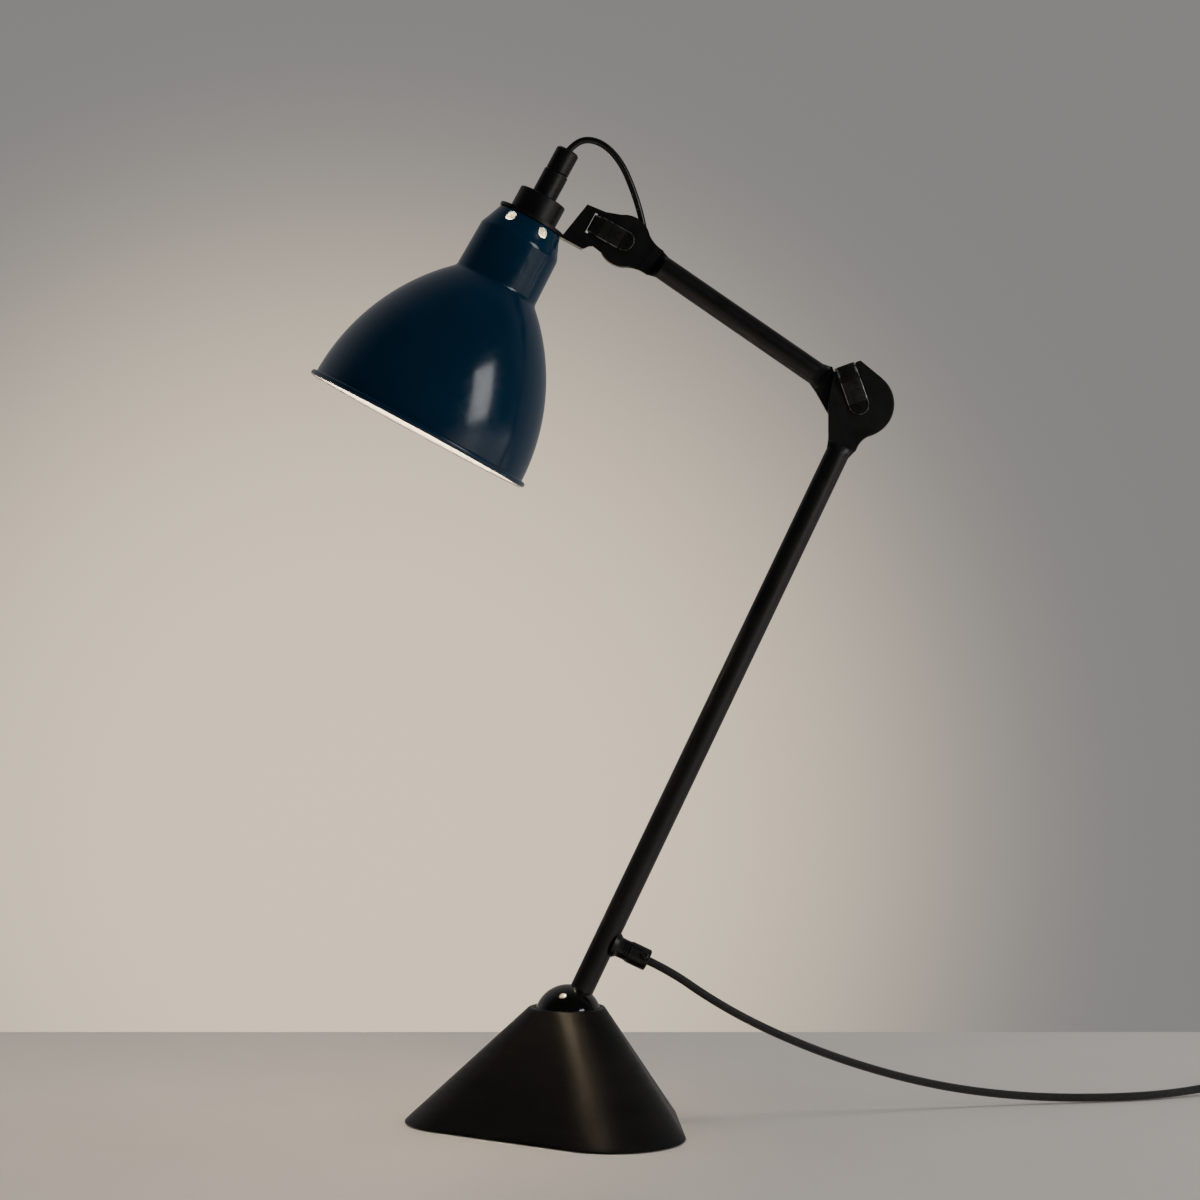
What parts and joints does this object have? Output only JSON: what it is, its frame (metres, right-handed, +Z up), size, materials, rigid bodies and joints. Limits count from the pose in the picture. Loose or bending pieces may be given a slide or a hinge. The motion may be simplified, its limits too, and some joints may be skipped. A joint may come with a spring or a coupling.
{
  "type": "desk lamp",
  "caption": "Architect desk lamp: bell shade on a folding two-part arm that stands in a ball joint on a weighted rounded-triangle base, with mains lead, in-line switch and plug.",
  "frame": {"origin": "on the tabletop under the centre of the base's ball", "axes": "+Z up; both arms and the shade's axis lie in the plane y = 0; the shade is on the -X side and -Y is the front"},
  "size_m": [0.6674, 0.2277, 0.5798],
  "materials": {
    "base_enamel": "satin black enamel, very fine texture",
    "satin_black": "satin black paint",
    "ball_gloss": "polished gloss black",
    "clip_black": "black finish worn bright along the edges",
    "shade_enamel": "gloss petrol blue enamel outside, white enamel inside",
    "cast_weight": "as cast",
    "zinc_steel": "zinc plated",
    "spring_steel": "spring steel",
    "screw_black": "blackened steel",
    "brass": "plain",
    "bulb_metal": "plain",
    "bulb_lit": "opal, lit",
    "pad_rubber": "matt",
    "grommet_rubber": "matt",
    "cup_plastic": "natural nylon",
    "washer_fibre": "fibre",
    "holder_ceramic": "black thermoset",
    "holder_plastic": "black thermoset",
    "head_cord_black": "smooth black sheath",
    "cord_inner": "smooth black sheath",
    "mains_braid": "black textile braid",
    "tie_black": "matt",
    "switch_plastic": "fine spark texture",
    "rocker_plastic": "smooth",
    "plug_plastic": "fine spark texture",
    "pin_nickel": "nickel plated"
  },
  "bodies": {
    "base": {"base_skirt": "base_enamel", "base_weight": "cast_weight", "bottom_plate": "zinc_steel", "plate_screws": "zinc_steel", "foot_pad": "pad_rubber", "spring_plug": "zinc_steel", "disc_springs": "spring_steel", "mains_cord": "mains_braid", "switch_lower_shell": "switch_plastic", "switch_upper_shell": "switch_plastic", "switch_screws": "screw_black", "switch_lead": "mains_braid", "cord_coil": "mains_braid", "cord_tie": "tie_black", "plug_lead": "mains_braid", "plug_body": "plug_plastic", "plug_pins": "pin_nickel"},
    "ball_cup": {"friction_cup": "cup_plastic"},
    "ball": {"base_ball": "ball_gloss"},
    "lower_arm": {"lower_tube": "satin_black", "tube_plug": "zinc_steel", "ball_screw": "zinc_steel", "lower_elbow_plate": "satin_black", "cord_branch": "satin_black", "gland_cap": "satin_black", "gland_screw": "screw_black", "lower_wire": "cord_inner", "elbow_pin": "zinc_steel", "elbow_washer": "washer_fibre", "elbow_clip": "clip_black"},
    "upper_arm": {"upper_tube": "satin_black", "upper_elbow_plate": "satin_black", "upper_head_plate": "satin_black", "wire_grommet": "grommet_rubber", "upper_wire": "cord_inner"},
    "head": {"head_bracket": "satin_black", "head_pin": "zinc_steel", "head_washer": "washer_fibre", "head_clip": "clip_black", "lampholder_body": "holder_ceramic", "lampholder_collar": "satin_black", "stem_tube": "satin_black", "cord_grip_cap": "satin_black", "screw_shell": "brass", "centre_contact": "brass", "bulb_cap": "bulb_metal", "bulb_glass": "bulb_lit", "shade": "shade_enamel", "shade_ring": "holder_plastic", "head_cord": "head_cord_black"},
    "rocker": {"switch_rocker": "rocker_plastic"}
  },
  "joints": [
    {"name": "base_swivel", "type": "hinge", "parent": "base", "child": "ball_cup", "pos_m": [0, 0, 0.061], "axis": [0, 0, 1], "range_deg": [-90, 90], "deforming": ["mains_cord"]},
    {"name": "base_tilt", "type": "hinge", "parent": "ball_cup", "child": "ball", "pos_m": [0, 0, 0.061], "axis": [0, 1, 0], "range_deg": [-70, 22]},
    {"name": "arm_roll", "type": "hinge", "parent": "ball", "child": "lower_arm", "pos_m": [0, 0, 0.061], "axis": [0.4305, 0, 0.9026], "range_deg": [-90, 90]},
    {"name": "elbow_hinge", "type": "hinge", "parent": "lower_arm", "child": "upper_arm", "pos_m": [0.1722, 0, 0.42203], "axis": [0, -1, 0], "range_deg": [0, 45]},
    {"name": "head_tilt", "type": "hinge", "parent": "upper_arm", "child": "head", "pos_m": [0.03309, 0, 0.518], "axis": [0, 1, 0], "range_deg": [-60, 90], "deforming": ["head_cord"]},
    {"name": "switch_rock", "type": "hinge", "parent": "base", "child": "rocker", "pos_m": [0.44449, 0.1108, 0.0115], "axis": [-0.4067, 0.9135, 0], "range_deg": [0, 14]}
  ]
}
